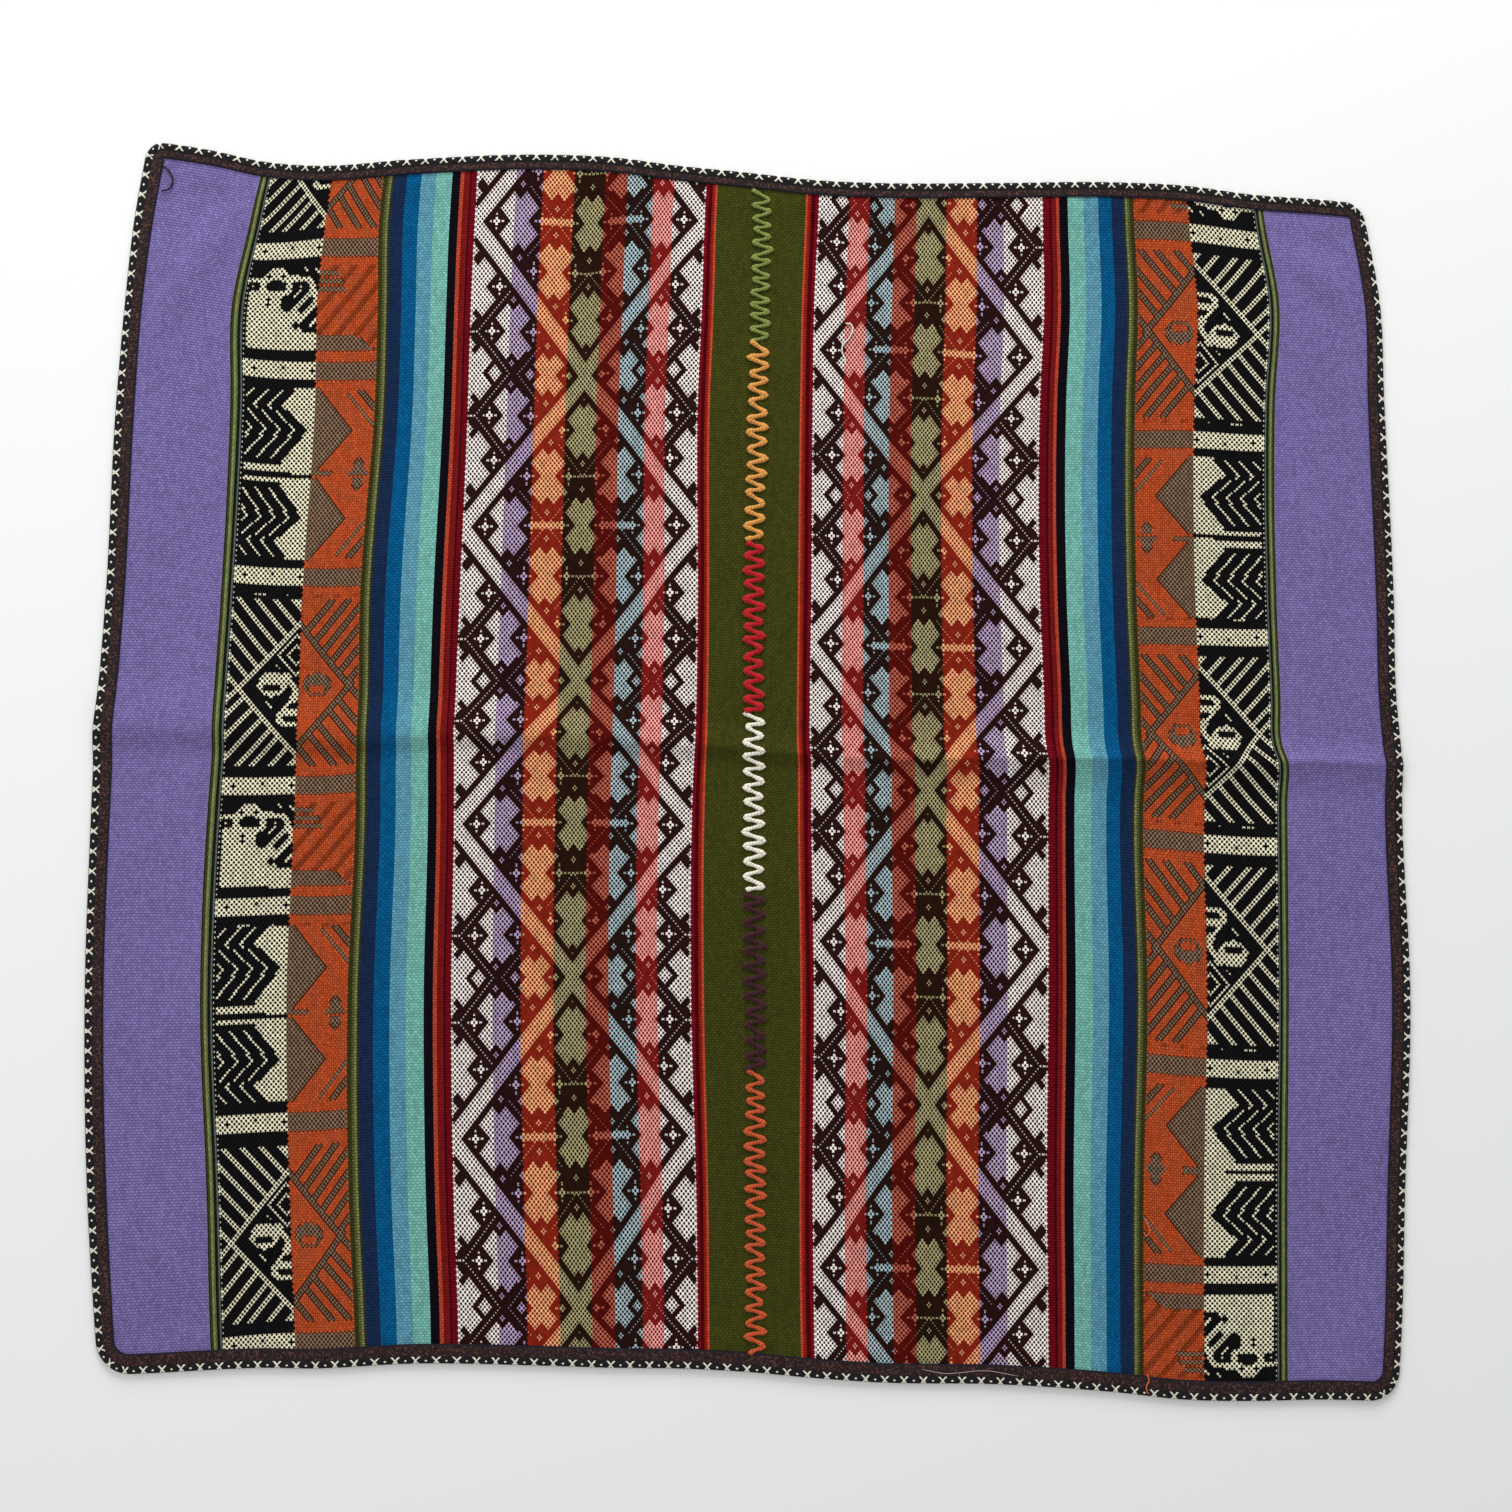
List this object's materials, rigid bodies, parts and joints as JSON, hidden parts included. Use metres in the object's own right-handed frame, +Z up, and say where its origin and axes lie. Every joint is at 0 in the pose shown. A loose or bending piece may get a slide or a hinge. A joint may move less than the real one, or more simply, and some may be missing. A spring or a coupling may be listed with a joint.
{
  "type": "opened-out aguayo carrying cloth",
  "caption": "Nearly square striped carrying cloth of warp-faced woven panels joined at a middle seam, bound with a woven edging and laid out flat with a shallow crease.",
  "frame": {"origin": "middle of the laid cloth's outline, on the surface it rests on", "axes": "+X across the stripes to the right, +Y along the warp to the end shown at the top, +Z up from the surface"},
  "size_m": [0.959, 0.9098, 0.0087],
  "materials": {
    "panel_wool": "warp-faced woven wool, matt, striped in purple, cream, orange, blue, mint, white, red and olive",
    "edging_wool": "ribbed woven wool, matt, dark brown with a black rim flecked white"
  },
  "bodies": {
    "root": {"panel_left": "panel_wool", "panel_right": "panel_wool", "edging": "edging_wool"}
  },
  "joints": []
}
